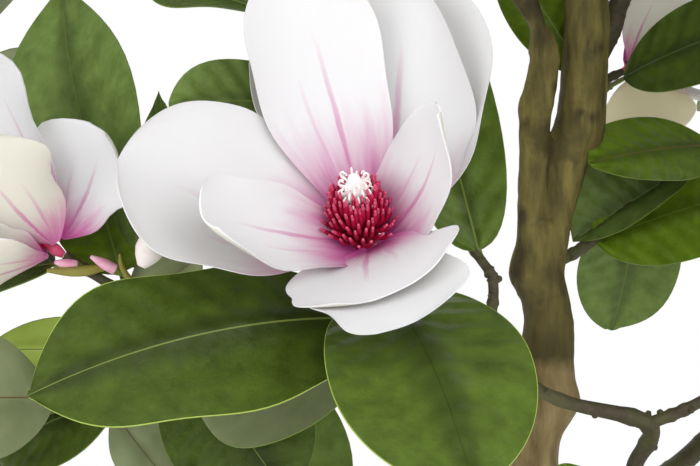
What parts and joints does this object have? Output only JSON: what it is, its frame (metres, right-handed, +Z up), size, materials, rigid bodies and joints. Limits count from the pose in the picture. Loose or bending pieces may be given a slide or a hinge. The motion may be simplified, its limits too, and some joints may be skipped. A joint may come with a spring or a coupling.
{
  "type": "artificial magnolia tree",
  "caption": "Rooted artificial magnolia: slim trunk forking into two stems, boughs that turn up into sprays of broad leaves, and open white blooms flushed pink at the heart.",
  "frame": {"origin": "middle of the flat cut under the trunk, at ground level", "axes": "+Z up, -Y towards the front, where the large open bloom faces, +X to the right seen from the front"},
  "size_m": [1.1772, 0.9613, 1.9157],
  "materials": {
    "bark": "matt, ridged bark",
    "foliage": "waxy green leaves on brown twigs",
    "petal": "soft satin white with a pink flush"
  },
  "bodies": {
    "root": {"trunk": "bark", "stem_left": "bark", "stem_right": "bark", "bough_front": "bark", "bough_low_left": "bark", "bough_low_front": "bark", "bough_low_right": "bark", "bough_low_back_left": "bark", "bough_low_back": "bark", "bough_mid_front": "bark", "bough_mid_left": "bark", "bough_mid_back_left": "bark", "bough_mid_back": "bark", "bough_mid_right": "bark", "bough_mid_front_right": "bark", "bough_high_front": "bark", "bough_high_left": "bark", "bough_high_back": "bark", "bough_high_right": "bark", "mass_front": "foliage", "mass_trunk_right": "foliage", "mass_stem_right": "foliage", "mass_low_left": "foliage", "mass_low_front": "foliage", "mass_low_right": "foliage", "mass_low_back_left": "foliage", "mass_low_back": "foliage", "mass_mid_front": "foliage", "mass_mid_left": "foliage", "mass_mid_back_left": "foliage", "mass_mid_back": "foliage", "mass_mid_right": "foliage", "mass_mid_front_right": "foliage", "mass_high_front": "foliage", "mass_high_left": "foliage", "mass_high_back": "foliage", "mass_high_right": "foliage", "mass_top": "foliage", "bloom_front": "petal", "bloom_left": "petal", "bloom_right": "petal", "bloom_low_left": "petal", "bloom_low_front": "petal", "bloom_low_right": "petal", "bloom_low_back": "petal", "bloom_mid_front": "petal", "bloom_mid_left": "petal", "bloom_mid_back_left": "petal", "bloom_mid_back": "petal", "bloom_mid_front_right": "petal", "bloom_high_front": "petal", "bloom_high_back": "petal", "bloom_top": "petal"}
  },
  "joints": []
}
